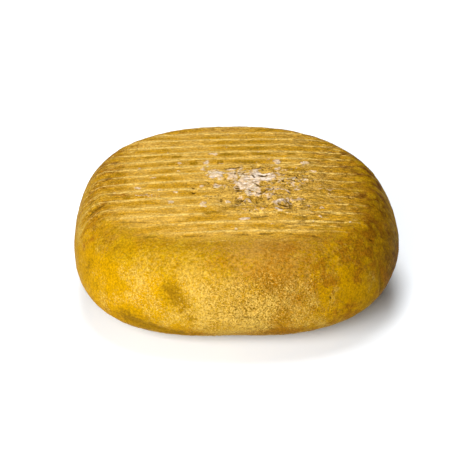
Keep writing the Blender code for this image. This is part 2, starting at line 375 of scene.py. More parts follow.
# sharp lines: corners, then half width, depth (below zero where it stands proud) and strength,
# which is how dark the painted shade along the line is
creases = {
    "top": [
        ([(10.2, 12.5), (12.5, 15.3), (15.9, 17.2), (19.3, 16.7), (22.1, 15.1)], 0.9, 0.7, 0.9),
        ([(10.6, 6.3), (12, 2.2), (13.3, 0.4)], 0.9, 0.6, 0.9),
        ([(16.9, -17.5), (19.1, -13), (23.1, -10.4)], 0.9, 0.5, 0.6),
        ([(11.6, -4.3), (13.4, -6.9), (16.8, -8.1)], 0.8, 0.6, 0.9),
        ([(23.2, -17.1), (23.4, -19.5), (24.4, -20.6)], 0.6, 0.5, 0.9),
        ([(22.2, -34.5), (26.9, -35.9), (31.8, -34.6), (34.6, -31.2)], 0.8, 0.6, 0.85),
        ([(-8.9, 14.2), (-2.7, 15.8), (2.4, 17.1), (6.9, 17.3)], 1, 0.5, 0.9),
        ([(8.8, -45.3), (13.6, -44.2), (22, -42.1)], 0.7, 0.5, 0.85),
        ([(27.3, -52.2), (34.1, -51.6), (47.8, -49.4)], 0.8, 0.4, 0.75),
        ([(16.6, -15.1), (20.4, -13.4), (25.3, -12.2)], 0.7, 0.5, 0.6),
        ([(44.4, -29.8), (44.8, -32.4), (43.2, -34.4)], 0.6, 0.4, 0.8),
        ([(-55, -64.3), (-49.2, -64.4), (-44, -64.3)], 0.9, 0.3, 0.7),
        ([(-32.5, -65.1), (-22.4, -64.9), (-12.8, -64.6)], 0.9, 0.3, 0.6),
        ([(-4.6, -64.4), (2.7, -64), (9.9, -64)], 0.8, 0.3, 0.7),
        ([(11.7, -63.1), (17.3, -62.7), (23.3, -62.5)], 0.8, 0.4, 0.85),
        ([(27.2, -62.3), (35.3, -62.7), (44.7, -63.4)], 0.9, 0.4, 0.5),
        ([(-71.9, -46.7), (-60, -47.2), (-48.1, -48.7)], 1, 0.5, 0.55),
        ([(43.5, -63.1), (45.8, -64.1), (50.4, -65.7)], 1, 0.4, 0.6),
        ([(70.8, -50.8), (74.1, -47.2), (77.2, -46.9), (80.6, -42.5)], 0.8, -0.4, 0),
        ([(77.9, -23.3), (82.1, -25.1), (85.7, -26.2)], 0.8, 0.5, 0.6),
        ([(-90.9, -29.2), (-87.2, -29.4), (-83, -27.2), (-76.9, -24)], 1.8, 0.8, 0.65),
        ([(-83.4, -38.6), (-79.8, -37.4), (-76.3, -35.4)], 1.8, 0.5, 0.45),
        ([(-82.2, -47.3), (-79.8, -47.2), (-76.7, -47.3)], 1.6, 0.4, 0.4),
        ([(-90.1, -17.6), (-87.6, -16.8), (-84.5, -16.1)], 1.8, 0.4, 0.5),
        ([(-92.5, -5.1), (-89.1, -6.5), (-85.3, -6.2)], 2.4, 0.4, 0.35),
        ([(-82.3, 3.9), (-80.1, 8.5), (-77.9, 12.8)], 2.4, 0.4, 0.45),
    ],
    "front": [
        ([(78.4, 25.3), (79.6, 24), (81.5, 22.3)], 0.7, 0.6, 0.95),
        ([(56.8, 26.1), (59.8, 24.3), (61.5, 21.9)], 0.7, -0.3, 0),
        ([(0.5, -2.8), (5.8, -1.4), (11, -2.4), (12.9, -4.6)], 0.9, 0.45, 0.3),
        ([(-68, -12), (-57, -11.8), (-45.3, -13.7), (-32.5, -16.9)], 3, 0.8, 0.25),
        ([(35.2, 22.5), (35.5, 18.1), (35.2, 12.3)], 0.8, 0.4, 0.4),
        ([(72.2, 23.7), (77.8, 17.5), (83.7, 8.5)], 0.8, -0.3, 0),
        ([(84.8, 9.4), (85.7, 0.3), (86.1, -9.2)], 1.6, 0.7, 0.4),
    ],
}
# pale curled edges of lifted crust, with a height instead of the depth
curls = {
    "top": [
        ([(5.8, -29.6), (6, -27.2), (7.4, -25.9), (8.8, -27.2), (9, -29.4)], 0.7, 0.4, 0.75),
        ([(23.5, -27.8), (24.5, -29.5), (26.8, -28.6), (29, -26.8), (31, -25.4)], 1.3, 0.6, 1),
        ([(23.4, -16.2), (24.3, -13.7), (26.8, -12.5), (30.6, -12.9), (32.9, -15.6),
          (33.4, -19.2)], 1.1, 0.6, 0.7),
        ([(20.5, -20.5), (20.8, -16), (23, -11), (28, -9.5), (33.5, -10.5)], 0.9, 0.5, 0.45),
        ([(7, -16.1), (8.3, -18), (10.2, -19.8)], 1.4, 0.4, 1),
        ([(11.6, -18.7), (13.5, -18), (15.4, -17.1)], 1.3, 0.4, 0.9),
        ([(-6.1, 12.5), (0.1, 14.3), (8, 15.3)], 0.8, 0.3, 0.6),
        ([(-4.4, 1), (-2.8, 5.7), (0, 6.3), (1.1, 2.1)], 0.8, 0.4, 0.7),
        ([(1.1, -2.6), (3, -6.1), (4, -10.7)], 1.2, 0.5, 0.9),
        ([(-5.6, -26), (-2.9, -27.1)], 1, 0.4, 0.9),
        ([(35.5, -26.5), (37.8, -24.2), (40.6, -21.9), (41.9, -23.4)], 0.8, 0.4, 0.6),
        ([(42.2, -32.7), (42.6, -31.2), (43.8, -30.9), (44.4, -32.6)], 0.7, 0.3, 0.5),
        ([(2.8, -47.3), (6, -47.1), (9.2, -46.3)], 1.1, 0.3, 0.9),
        ([(-46.3, -61.9), (-28.2, -62.4), (-10.7, -61.8)], 0.9, 0.2, 0.15),
        ([(27.3, -58.4), (37.9, -57.1), (48.5, -57)], 0.9, 0.2, 0.2),
    ],
}
# dark olive stretches between the ridges: x, y, half length, strength
dashes = {
    "halfWidth": 2.8,
    "places": [
        (-2, 36, 9, 0.9), (17, 37, 7, 1), (37, 38, 4, 0.8), (-9, 25, 2, 1.4), (7, 25, 8, 1),
        (35, 15, 4, 1.4), (11, 57, 9, 0.6), (14, 46, 8, 0.8), (-45, 45, 4, 0.5), (-37, 34, 4, 1),
        (-26, 24, 3, 1), (-66, -19, 3, 0.8), (-68, 2, 2, 0.6), (58, 0, 3, 0.3), (-60, 30, 6, 0.3),
        (-73, 22, 5, 0.5), (-54, 35, 6, 0.6), (-40, 24, 5, 0.7), (-50, 24, 4, 0.5),
        (-72, 13, 4, 0.6), (-56, -3, 5, 0.35), (-51, -26, 6, 0.1), (-63, -30, 6, 0.5),
        (-33, -31, 6, 0.35), (-12, -40, 8, 0.8), (-27, -54, 9, 0.35), (39, -24, 6, 0.5),
        (52, -13, 8, 0.4), (57, -29, 6, 0.5), (39, -44, 9, 0.5), (50, -54, 9, 0.45),
        (44, 61, 9, 0.3), (30, 48, 5, 0.3), (49, 45, 6, 0.1), (58, 34, 5, 0.1), (53, 20, 4, 0.1),
        (-22, 55, 6, 0.4), (-36, 57, 5, 0.4), (-13, 68, 9, 0.3), (70, 11, 4, 0.5),
        (69, -9, 4, 0.6), (70, -29, 3, 0.6),
    ],
}
# for each side that marks are placed from, the axis of their second number and the way out
sides = {"top": (1, [0.0, 0, 1]), "front": (2, [0.0, -1, 0])}
lineStep = 0.6  # how far apart the points along a sharp line are


def marksOn(side, places):
    # middle of each mark on the plain loaf, and its two directions along the rind: X with the part
    # along the outward slope taken away, and the outward slope crossed with that
    axis, wayOut = sides[side]
    centres = np.zeros((len(places), 3))
    centres[:, [0, axis]] = places
    middles = onRind(centres, np.tile(wayOut, (len(places), 1)))
    outwards = outward(middles)
    alongs = unit(np.array([1.0, 0, 0]) - outwards * outwards[:, :1])
    return middles, alongs, np.cross(outwards, alongs)


def eachMark(points, table):
    # each mark of a table with the points near it and their elliptical distance from its middle,
    # made ragged by noise
    rough = noise(points, 2.6, 31, 2)
    for side in filter(table.get, sides):
        places = marksOn(side, [row[:2] for row in table[side]])
        for row, middle, along, across in zip(table[side], *places):
            halfLength, halfWidth, turn = row[2], row[3], math.radians(row[4])
            reach = 2.2 * max(halfLength, halfWidth) + 1
            near = np.flatnonzero(np.abs(points - middle).max(axis=1) < reach)
            away = points[near] - middle
            a, b = away @ along, away @ across
            r = np.hypot((a * math.cos(turn) + b * math.sin(turn)) / halfLength,
                         (b * math.cos(turn) - a * math.sin(turn)) / halfWidth)
            yield row, near, r + table["ragged"] * rough[near]


def spots(points, table, strengthAt=5):
    # strength * (1 - ramp(r, 1 - soft, 1 + soft)); the strongest mark wins at each point
    total = np.zeros(len(points))
    for row, near, r in eachMark(points, table):
        share = row[strengthAt] * (1 - ramp(r, 1 - table["soft"], 1 + table["soft"]))
        total[near] = np.where(np.abs(share) > np.abs(total[near]), share, total[near])
    return total


def stain(points, name):
    # strength * exp(-r^2), all the marks added up
    total = np.zeros(len(points))
    for row, near, r in eachMark(points, stains[name]):
        total[near] += row[5] * hump(np.maximum(r, 0), 0, 1)
    return total


def lineShares(points, table):
    # depth and strength of the sharp lines: a bell of the distance to the nearest point of the
    # line, fading at its two ends
    depth, dark = np.zeros((2, len(points)))
    for side in filter(table.get, sides):
        for corners, halfWidth, fall, strength in table[side]:
            corners = np.array(corners)
            steps = np.append(0, np.cumsum(np.linalg.norm(np.diff(corners, axis=0), axis=1)))
            places = np.linspace(0, steps[-1], max(4, int(steps[-1] / lineStep)))
            line = np.stack([np.interp(places, steps, column) for column in corners.T], axis=1)
            middles, _, _ = marksOn(side, line)
            low, high = middles.min(axis=0) - 6, middles.max(axis=0) + 6
            near = np.flatnonzero(((points > low) & (points < high)).all(axis=1))
            span = np.linalg.norm(points[near][:, None, :] - middles[None, :, :], axis=2)
            closest = span.argmin(axis=1)
            end = np.minimum(closest, len(middles) - 1 - closest) / len(middles)
            share = hump(span.min(axis=1), 0, halfWidth) * (0.35 + 0.65 * ramp(end, 0, 0.25))
            deeper = np.abs(fall * share) > np.abs(depth[near])
            depth[near] = np.where(deeper, fall * share, depth[near])
            dark[near] = np.maximum(dark[near], strength * share)
    return depth, dark


# relief

ridges = {
    "pitch": 10.06, "count": 16, "first": 80.4, "skew": 0.033,
    "height": 0.18, "foot": 1.4,
    # they fade between these places: down the sides, to the right and towards the front
    "sideFade": (6, 24), "rightFade": (64, 88), "frontFade": (-76, -60),
    "lostInKnot": 0.75, "lostInCorner": 0.8,
    # how far a crest strays from its row, slowly and quickly
    "wander": 0.9, "wanderCell": 55.0, "waver": 0.25, "waverCell": 12.0,
    "thirdHeight": 0.14,  # faint lines between the ridges
}
knot = {
    "centre": (19.0, -10.0), "reach": (44.0, 36.0),
    "cragHeight": 0.7, "cragCell": 8.0,
    "fineHeight": 0.35, "fineCell": 4.0,
    "crater": (17.5, 6.8), "craterRadius": 6.6, "craterLip": 2.6, "craterHeight": 1.1,
    "craterHole": 2.0, "craterDepth": 1.2,
    "disc": (16.8, 3.8, 8.0, 6.6),  # the smooth pale disc of mould: place and half sizes
    "discBare": (20.0, 11.6, 5.5, 2.8),  # and the part of it that shows the crust
    "discHole": (18.0, 5.2, 2.9, 2.0),
    "smooth": (8.5, -4.0, 7.0, 9.0),  # smoother pale crust beside it
    "plateStep": 0.36,  # height of one ledge of the flaking crust
    "plateSteps": 3.2,  # how many ledges between the field's middle and its top
    "plateCell": 8.0,
    "riser": (0.38, 0.62),  # the share of a step that the riser takes up
    "curlHeight": 0.38,
    # place, half sizes and height of each mark, below zero where it is sunk
    "crags": [
        (-11, 7, 6, 5, 0.7), (8.5, -3, 7.5, 8, 0.8), (45, 24, 4.5, 3.5, 1),
        (25, -36.5, 4.5, 2.5, 0.9), (27, -28, 4.5, 3.5, 1.1), (34, -31, 4, 4, -1.2),
        (2, -29, 4.5, 5, -1.3), (-25.5, -14.5, 3, 3, -0.8), (17, -43, 8, 2.5, -0.9),
    ],
}
skin = {
    # threads of the pressing cloth, along X on the top
    "fibreHeight": 0.12, "fibreCell": 2.6, "fibreStretch": 7.0,
    "grainHeight": 0.10, "grainCell": 2.6,
    "waveHeight": 0.22, "waveCell": 9.0,
    "crackleHeight": 0.45, "crackleCell": 5.0,  # shrunken rind low in the middle of the front
}


def ridgeRows(points):
    # how far a point is from the nearest ridge's crest, in millimetres, and its row number
    x, y, z = points.T
    drawnOut = points * [1, 1.6, 1]
    wander = ridges["wander"] * noise(drawnOut, ridges["wanderCell"], 11, 2)
    wander += ridges["waver"] * noise(drawnOut, ridges["waverCell"], 12)
    rows = (ridges["first"] + math.tan(ridges["skew"]) * x - y + wander) / ridges["pitch"]
    nearest = np.clip(np.round(rows), 0, ridges["count"] - 1)
    return (rows - nearest) * ridges["pitch"], rows


def thirdLines(rows, reach):
    # a bell round each third of the way from one ridge to the next
    return hump(np.abs(rows * 3 % 1 - 0.5), 0.5, reach)


def knotShare(points):
    # 1 in the crusted middle of the top, falling off like exp(-d^4)
    x, y, z = points.T
    (middleX, middleY), (reachX, reachY) = knot["centre"], knot["reach"]
    across = ((x - middleX) / reachX) ** 2 + ((y - middleY) / reachY) ** 2
    return np.exp(-across ** 2) * (z > 0)


def ridgeFade(points):
    # 1 where the ridges are whole; both front corners are smoothed off
    x, y, z = points.T
    right = 1 - ramp(x, *ridges["rightFade"])
    front = ramp(y, *ridges["frontFade"])
    corner = 1 - ridges["lostInCorner"] * ramp(0.6 * np.abs(x) - y, 78, 100)
    return ramp(z, *ridges["sideFade"]) * right * front * corner


def crustField(points):
    # a rough field whose whole numbers are the edges of the crust's ledges
    return noise(points * [0.7, 1, 1], knot["plateCell"], 41, 3) * knot["plateSteps"]


def crustLedges(points):
    # the field's level plus a riser that takes up the middle quarter of each step
    field = crustField(points)
    level = np.floor(field)
    return knot["plateStep"] * (level + ramp(field - level, *knot["riser"]))


def curlShares(points):
    # thin curled crests of lifted crust along the lines where a noise is nil, and the gaps under
    # them where it is just below nil, which get painted shade; both only in patches
    field = noise(points * [0.8, 1.15, 1], 5.2, 43, 3)
    share = knotShare(points) * ramp(noise(points, 11, 44, 2), -0.35, 0.25)
    return share * (1 - ramp(np.abs(field), 0.02, 0.2)), share * hump(field, -0.3, 0.11)


def oval(points, name, ragged=0.35):
    # 1 inside an ellipse across the top with a ragged edge, 0 outside it
    x, y, z = points.T
    middleX, middleY, halfX, halfY = knot[name]
    r = np.hypot((x - middleX) / halfX, (y - middleY) / halfY)
    return ramp(r + ragged * noise(points, 3, 45, 2), 1.1, 0.85) * (z > 0)


def smoothShare(points):
    return np.maximum(oval(points, "disc", 0.1), oval(points, "smooth"))


def knotRelief(points, smooth):
    # crags, ledges, the crater round the disc and curled edges
    x, y, z = points.T
    rough = knot["cragHeight"] * plainNoise(points, knot["cragCell"], 5)
    rough += knot["fineHeight"] * plainNoise(points, knot["fineCell"], 6)
    crags = 0.75 * rough + crustLedges(points) + 0.15 * noise(points, 2.2, 42)
    crags *= knotShare(points) * (1 - 0.8 * smooth)
    for atX, atY, reachX, reachY, rise in knot["crags"]:
        crags += rise * hump(x, atX, reachX) * hump(y, atY, reachY)
    radius = np.hypot(x - knot["crater"][0], y - knot["crater"][1])
    crags += knot["craterHeight"] * hump(radius, knot["craterRadius"], knot["craterLip"])
    crags -= knot["craterDepth"] * hump(radius, 0, knot["craterHole"])
    curl, gap = curlShares(points)
    crags += knot["curlHeight"] * (curl - 0.5 * gap) * (1 - smooth)
    return crags * (z > 0)


def rindRelief(points):
    # how far the rind stands above the plain loaf: ridges, threads, knot, waves, crackle and marks
    x, y, z = points.T
    away, rows = ridgeRows(points)
    fade = ridgeFade(points)
    crest = np.where(np.abs(away) < ridges["foot"],
                     0.5 + 0.5 * np.cos(math.pi * away / ridges["foot"]), 0)
    height = ridges["height"] * crest * fade * (1 - ridges["lostInKnot"] * knotShare(points))
    height *= 1 - 0.45 * ramp(x, -50, -78)
    height *= 0.9 + 0.65 * noise(points * [0.4, 1, 1], 9, 13, 3)
    patchy = ramp(noise(points * [0.4, 1, 1], 9, 14), -0.3, 0.4)
    height += ridges["thirdHeight"] * thirdLines(rows, 0.17) * (1 - crest) * fade * patchy
    drawnOut = points * [1 / skin["fibreStretch"], 1, 1]
    height += (skin["fibreHeight"] * noise(drawnOut, skin["fibreCell"], 15, 2)
               * ramp(z, 14, 26))
    height += knotRelief(points, smoothShare(points))
    height += loaf["undulation"] * plainNoise(points, loaf["undulationCell"], 3)
    height += skin["grainHeight"] * noise(points, skin["grainCell"], 16, 2)
    height += skin["waveHeight"] * noise(points, skin["waveCell"], 21, 2)
    onFront = ramp(y, -55, -80) * ramp(z, 30, 18)
    crackled = onFront * hump(x, 5, 38) * ramp(noise(points, 22, 22, 2), -0.35, 0.25)
    crackle = np.abs(noise(points, skin["crackleCell"], 23, 3))
    height -= skin["crackleHeight"] * (1 - ramp(crackle, 0, 0.3)) * crackled
    height += mould["thickness"] * spots(points, mould)
    height += spots(points, crusts) - spots(points, hollows)
    height += lineShares(points, curls)[0] - lineShares(points, creases)[0]
    return height * ramp(z, -loaf["drop"], -loaf["drop"] + loaf["baseClear"])


def spreadOut(field, times):
    # the field with each value replaced by the 1-2-1 mean along both of the grid's directions
    for _ in range(times):
        field = (np.roll(field, 1, 1) + 2 * field + np.roll(field, -1, 1)) / 4
        padded = np.concatenate([field[:1], field, field[-1:]])
        field = (padded[:-2] + 2 * padded[1:-1] + padded[2:]) / 4
    return field


def makeRind():
    xs, turns = ringPlaces(), rowTurns()
    shape = len(xs), len(turns)
    centres = np.zeros((*shape, 3))
    centres[:, :, 0] = xs[:, None]
    rays = np.broadcast_to(rowRays(turns), (*shape, 3)).reshape(-1, 3)
    tips = np.outer([-1, 1], [loaf["halfWidth"], 0, 0])
    plain = np.concatenate([onRind(centres.reshape(-1, 3), rays), tips])
    height = rindRelief(plain)
    points = swollen(plain) + outward(plain) * height[:, None]
    # set down where the solid stands
    low, high = points.min(axis=0), points.max(axis=0)
    cadMiddle = [(cadBounds[0][i] + cadBounds[1][i]) / 2 / mm for i in (0, 1)]
    shift = np.array([cadMiddle[0] - (low[0] + high[0]) / 2, cadMiddle[1] - (low[1] + high[1]) / 2,
                      loaf["drop"]])
    points += shift
    points[:, 2] = np.maximum(points[:, 2], 0)
    quads, triangles = gridFaces(*shape)
    rind = makePiece("cheeseRind", points, quads, triangles)
    # how far each point stands above its neighbourhood, for the painted shade in the creases
    onGrid = height[:-2].reshape(shape)
    proud = np.append((onGrid - spreadOut(onGrid, 8)).ravel(), [0, 0])
    print("stage 2: rind of", len(quads) * 2 + len(triangles), "triangles")
    return rind, plain, proud, shift


rind, plainPoints, proudness, formShift = makeRind()


# where each colour of the rind lies

# stains and bloom: half length, half width, turn and strength after the place, as for the mould
stains = {
    # olive-brown, where the oil has darkened
    "brown": {
        "ragged": 0.35,
        "top": [
            (-6.7, -87.5, 9.1, 5.3, 0, 0.4), (31.8, -77.2, 4.6, 4, 70, 0.25),
            (63.8, -67.1, 15.8, 7.6, 15, 0.45), (-80.6, 3.1, 5, 2.6, 64, 0.7),
            (-85.6, 2.7, 4.9, 3.1, -79, 0.5), (-87, -3.4, 5, 2.5, -72, 0.4),
            (-73.2, 22.4, 5.2, 2.8, 23, 0.5), (-71.5, 11.9, 5, 2.8, 11, 0.5),
            (-72.6, 1.9, 4.4, 2.9, 11, 0.6), (-71.2, -7.4, 3.7, 2.6, 0, 0.5),
            (-67.8, -16.4, 3.9, 3, -25, 0.8), (-78.3, -8.6, 3.8, 2.1, 57, 0.35),
            (-81.7, -12, 4.8, 2.1, 61, 0.45), (-88.9, -10.6, 5.2, 2.5, -67, 0.5),
            (-79.6, -19.9, 4.3, 2.2, 50, 0.35), (-82.6, -27.4, 3.8, 2.4, 46, 0.6),
            (-65, 53.8, 5.9, 3.6, 42, 0.5), (-77.2, 48.5, 7.7, 3.8, -89, 0.5),
            (-82.4, 45.1, 9.8, 2.6, -84, 0.4), (-51.9, 54.3, 5.2, 3.2, 8, 0.4),
            (-32.7, 75.1, 9.8, 3.4, 20, 0.5), (-56, 70.4, 8.6, 6.1, 68, 0.5),
            (-1.9, 78.6, 10.7, 2.2, 0, 0.5), (40.5, -64.3, 8.2, 2.3, 3, 0.65),
            (83.7, -6.8, 6.3, 3.5, 58, 0.5), (77.9, -1.6, 4, 3.1, 83, 0.4),
            (80, -34.5, 9.5, 5, 52, 0.5), (72, -33.6, 3.7, 2.9, 64, 0.5),
            (75.6, 27.7, 2.6, 2.2, -22, 0.6), (69.4, 36.4, 3.9, 1.8, -3, 0.5),
            (63, 45.6, 4.6, 2.3, -14, 0.5), (54.9, 64.2, 6.6, 2.6, -9, 0.4),
            (73.8, 48.7, 6.3, 3.9, 80, 0.4),
        ],
        "front": [
            (12, 22.6, 8, 4.5, 0, 0.4), (20, 18, 4, 2.9, -2, 0.4), (48.4, 24, 6.3, 4.6, 9, 0.4),
            (67.5, 13.8, 9.8, 5.8, -6, 0.25), (73.9, 17.5, 13.1, 8.1, 5, 0.2),
            (47.1, 12.1, 5.1, 3.5, -11, 0.3), (64, -10.5, 12, 5.4, -24, 0.7),
            (83, -10.5, 10.7, 4.2, -37, 0.4), (30.5, -14, 13, 4, -4, 0.4),
            (36.7, 7.5, 4.9, 3.1, -11, 0.3), (57.2, 13.5, 14.5, 4.1, -5, 0.2),
            (25.7, -17.4, 14, 3, -3, 0.5), (-20.8, -18.4, 10, 2.6, 4, 0.45),
            (2.4, -18.2, 9, 2.4, 0, 0.4), (-89.4, 24.9, 4, 2.9, -39, 0.6),
            (-86.2, 25.6, 8.8, 2.6, -80, 0.4), (88.5, 23.3, 10.2, 3.6, 44, 0.5),
            (86.6, 4.6, 8.9, 4.2, -48, 0.9), (68, -4.5, 7, 3.3, -14, 0.45),
        ],
    },
    # olive smudges on the left
    "smudge": {
        "ragged": 0.35,
        "top": [
            (-69, -66.9, 6.6, 2.8, 35, 0.55), (-48.7, -77, 5.6, 3, 16, 0.4),
        ],
        "front": [
            (-37.8, 13.6, 6.8, 4.6, -30, 0.55), (-33.4, 8.6, 7, 5, -55, 0.5),
            (-27.2, 0.6, 6.4, 4.8, -60, 0.5), (-86.9, 8.3, 7.5, 2.8, 52, 0.55),
            (-5, 22.4, 10.4, 6.8, 69, 0.35), (-61.8, -9.6, 9.5, 5.8, 14, 0.9),
            (-50, -14.5, 9, 4.8, 8, 0.9), (-34.9, -18, 8, 3.8, 5, 0.85),
        ],
    },
    # golden, where it has soaked in
    "gold": {
        "ragged": 0.35,
        "top": [
            (-40.4, -84.1, 8.2, 6.9, -10, 0.3), (-13.6, -77.5, 9.2, 5.2, -1, 0.3),
            (-13.7, -55.7, 4.3, 4.1, -75, 0.6), (26.6, -44.7, 2.2, 1.8, 82, 0.7),
            (37.9, -45.4, 2.8, 2.4, 75, 0.6), (15.7, -53.2, 1.8, 1.6, 11, 0.5),
            (-13.2, -47, 3, 2.2, -3, 0.4), (-80.6, -44.2, 9.8, 5.5, -38, 0.6),
            (-68.8, -38.9, 6.4, 5.4, -38, 0.4), (-58.2, -13.4, 4.4, 3.1, -15, 0.3),
            (2.7, -59.1, 10.5, 2.6, 0, 0.5), (-20.7, -60.9, 8.2, 3.2, -2, 0.45),
            (43.9, -56.2, 9.5, 3.2, 4, 0.3), (-37.2, -56, 7.1, 4.3, -5, 0.35),
            (-43.8, -66.2, 8.2, 4.1, -5, 0.4), (-49.1, -53.1, 10.7, 2.4, -4, 0.5),
        ],
        "front": [
            (-88.2, 20.7, 10.3, 5.4, -37, 0.5), (-73.2, 11.9, 13.4, 10.7, 43, 0.5),
            (-73.6, -3.4, 12.4, 6.5, 27, 0.5), (-52.1, 10.8, 8.8, 6, 12, 0.45),
            (-26.1, 17.2, 8, 4.6, 1, 0.35), (60.2, 18.6, 4.2, 2.9, 2, 0.7),
            (63.8, 14.1, 3.7, 2.3, -6, 0.5), (55.5, 23.4, 2.6, 1.7, 10, 0.4),
            (60.2, 8.1, 13.9, 4.8, -12, 0.5), (72.7, 3, 12.2, 4.8, -22, 0.45),
            (9.2, 13, 8, 4.2, -1, 0.35), (-20.4, 9.3, 9.1, 5.6, 2, 0.35),
            (47.8, -10.3, 12.5, 8.9, -37, 0.4), (66.9, -7.8, 11.1, 5.2, -22, 0.45),
            (-85.4, 22.9, 7.3, 3.7, -35, 0.4),
        ],
    },
    # pale tan bloom, stippled
    "bloom": {
        "ragged": 0.45,
        "top": [
            (-79.9, -10.6, 5.7, 2.5, 74, 0.7), (-83.5, -20.8, 5.4, 3.1, 71, 0.7),
            (-50.9, -79.6, 6.1, 3, -8, 0.2), (34.5, -82.4, 3.5, 2.5, 10, 0.45),
            (54.5, -74.6, 13.3, 4.9, 14, 0.15),
        ],
        "front": [
            (-89.5, 25.1, 4.7, 3, -55, 0.6), (-53.2, 17.4, 12.3, 10.4, 72, 0.4),
            (-24.3, 24.5, 10.6, 10.3, 84, 0.4), (-6.1, 22.3, 11.4, 7.9, 0, 0.3),
            (24.3, 25.2, 2.9, 2.3, 4, 0.4), (14.9, 22.1, 8, 6.2, 0, 0.25),
            (40, 4.6, 7, 5.8, -65, 0.3), (-28.5, 1.2, 9.2, 5.7, -6, 0.35),
            (-12, -2, 11.4, 5.7, 1, 0.35), (14.9, 1.9, 15.1, 8.8, -7, 0.3),
            (6.4, -7.6, 12.7, 7, -5, 0.4), (59.1, 22.6, 3.6, 2.7, -34, 0.3),
            (69.5, 19.3, 8.6, 3.2, -23, 0.3), (81.4, 4, 6, 2.4, -43, 0.3),
            (-82.3, 18.1, 6.1, 4.6, -80, 0.2), (-62.4, 1.7, 7.9, 5.8, 46, 0.3),
            (37.3, -12.6, 14.6, 8, -20, 0.35), (-38, -7.4, 9.3, 5.3, -2, 0.25),
        ],
    },
}


